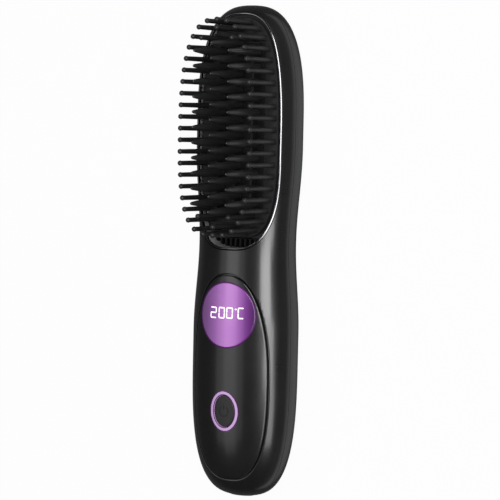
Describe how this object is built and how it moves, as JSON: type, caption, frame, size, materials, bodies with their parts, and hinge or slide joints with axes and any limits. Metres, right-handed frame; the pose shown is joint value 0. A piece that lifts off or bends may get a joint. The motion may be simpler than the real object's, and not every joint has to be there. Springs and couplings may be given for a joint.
{
  "type": "hair straightening brush",
  "caption": "Cordless heated brush: a smooth oval body whose head carries a ring of ball-tipped bristles round rows of heated comb teeth, with a round display and a power button on the handle.",
  "frame": {"origin": "centre of the footprint at the level of the flat on the back, on which the brush lies", "axes": "+X across the brush, +Y along it towards the head, +Z the way the bristles point"},
  "size_m": [0.0502, 0.21, 0.0465],
  "materials": {
    "shell_black": "satin gloss",
    "cover_black": "satin gloss",
    "rim_trim": "polished",
    "nylon_black": "satin",
    "coated_aluminium": "black ceramic coating",
    "ceramic": "matt",
    "spring_steel": "bright",
    "mica": "matt",
    "heatproof_plastic": "matt",
    "glass_bead": "gloss",
    "tinned_metal": "satin",
    "module_plastic": "matt",
    "purple_window": "polished",
    "display_white": "lit",
    "button_grey": "satin",
    "light_ring": "translucent",
    "circuit_board": "solder mask",
    "cell_wrap": "shrink film",
    "nickel": "bright nickel",
    "red_wire": "satin",
    "glass_sleeve_wire": "matt",
    "screw_steel": "zinc plated"
  },
  "bodies": {
    "brush": {"rear_shell": "shell_black", "front_shell": "shell_black", "handle_cover": "cover_black", "head_rim_trim": "rim_trim", "bristle_carrier": "nylon_black", "ion_grille": "nylon_black", "heating_comb": "coated_aluminium", "ceramic_heater": "ceramic", "heater_spring": "spring_steel", "mica_sheet": "mica", "heater_tray": "heatproof_plastic", "thermistor": "glass_bead", "thermal_fuse": "tinned_metal", "ion_generator": "module_plastic", "ion_needles": "spring_steel", "display_window": "purple_window", "display_module": "display_white", "button_light_ring": "light_ring", "tact_switch": "tinned_metal", "ring_leds": "display_white", "control_board": "circuit_board", "battery_cells": "cell_wrap", "battery_cradle": "module_plastic", "battery_tabs": "nickel", "charge_board": "circuit_board", "usb_socket": "nickel", "battery_leads": "red_wire", "heater_leads": "glass_sleeve_wire", "housing_screws": "screw_steel", "carrier_screws": "screw_steel", "board_screws": "screw_steel"},
    "button": {"power_button": "button_grey", "switch_plunger": "module_plastic"}
  },
  "joints": [
    {"name": "power_press", "type": "slide", "parent": "brush", "child": "button", "axis": [0, 0, -1], "range_m": [0, 0.0005], "stiffness_N_per_m": 2000}
  ]
}
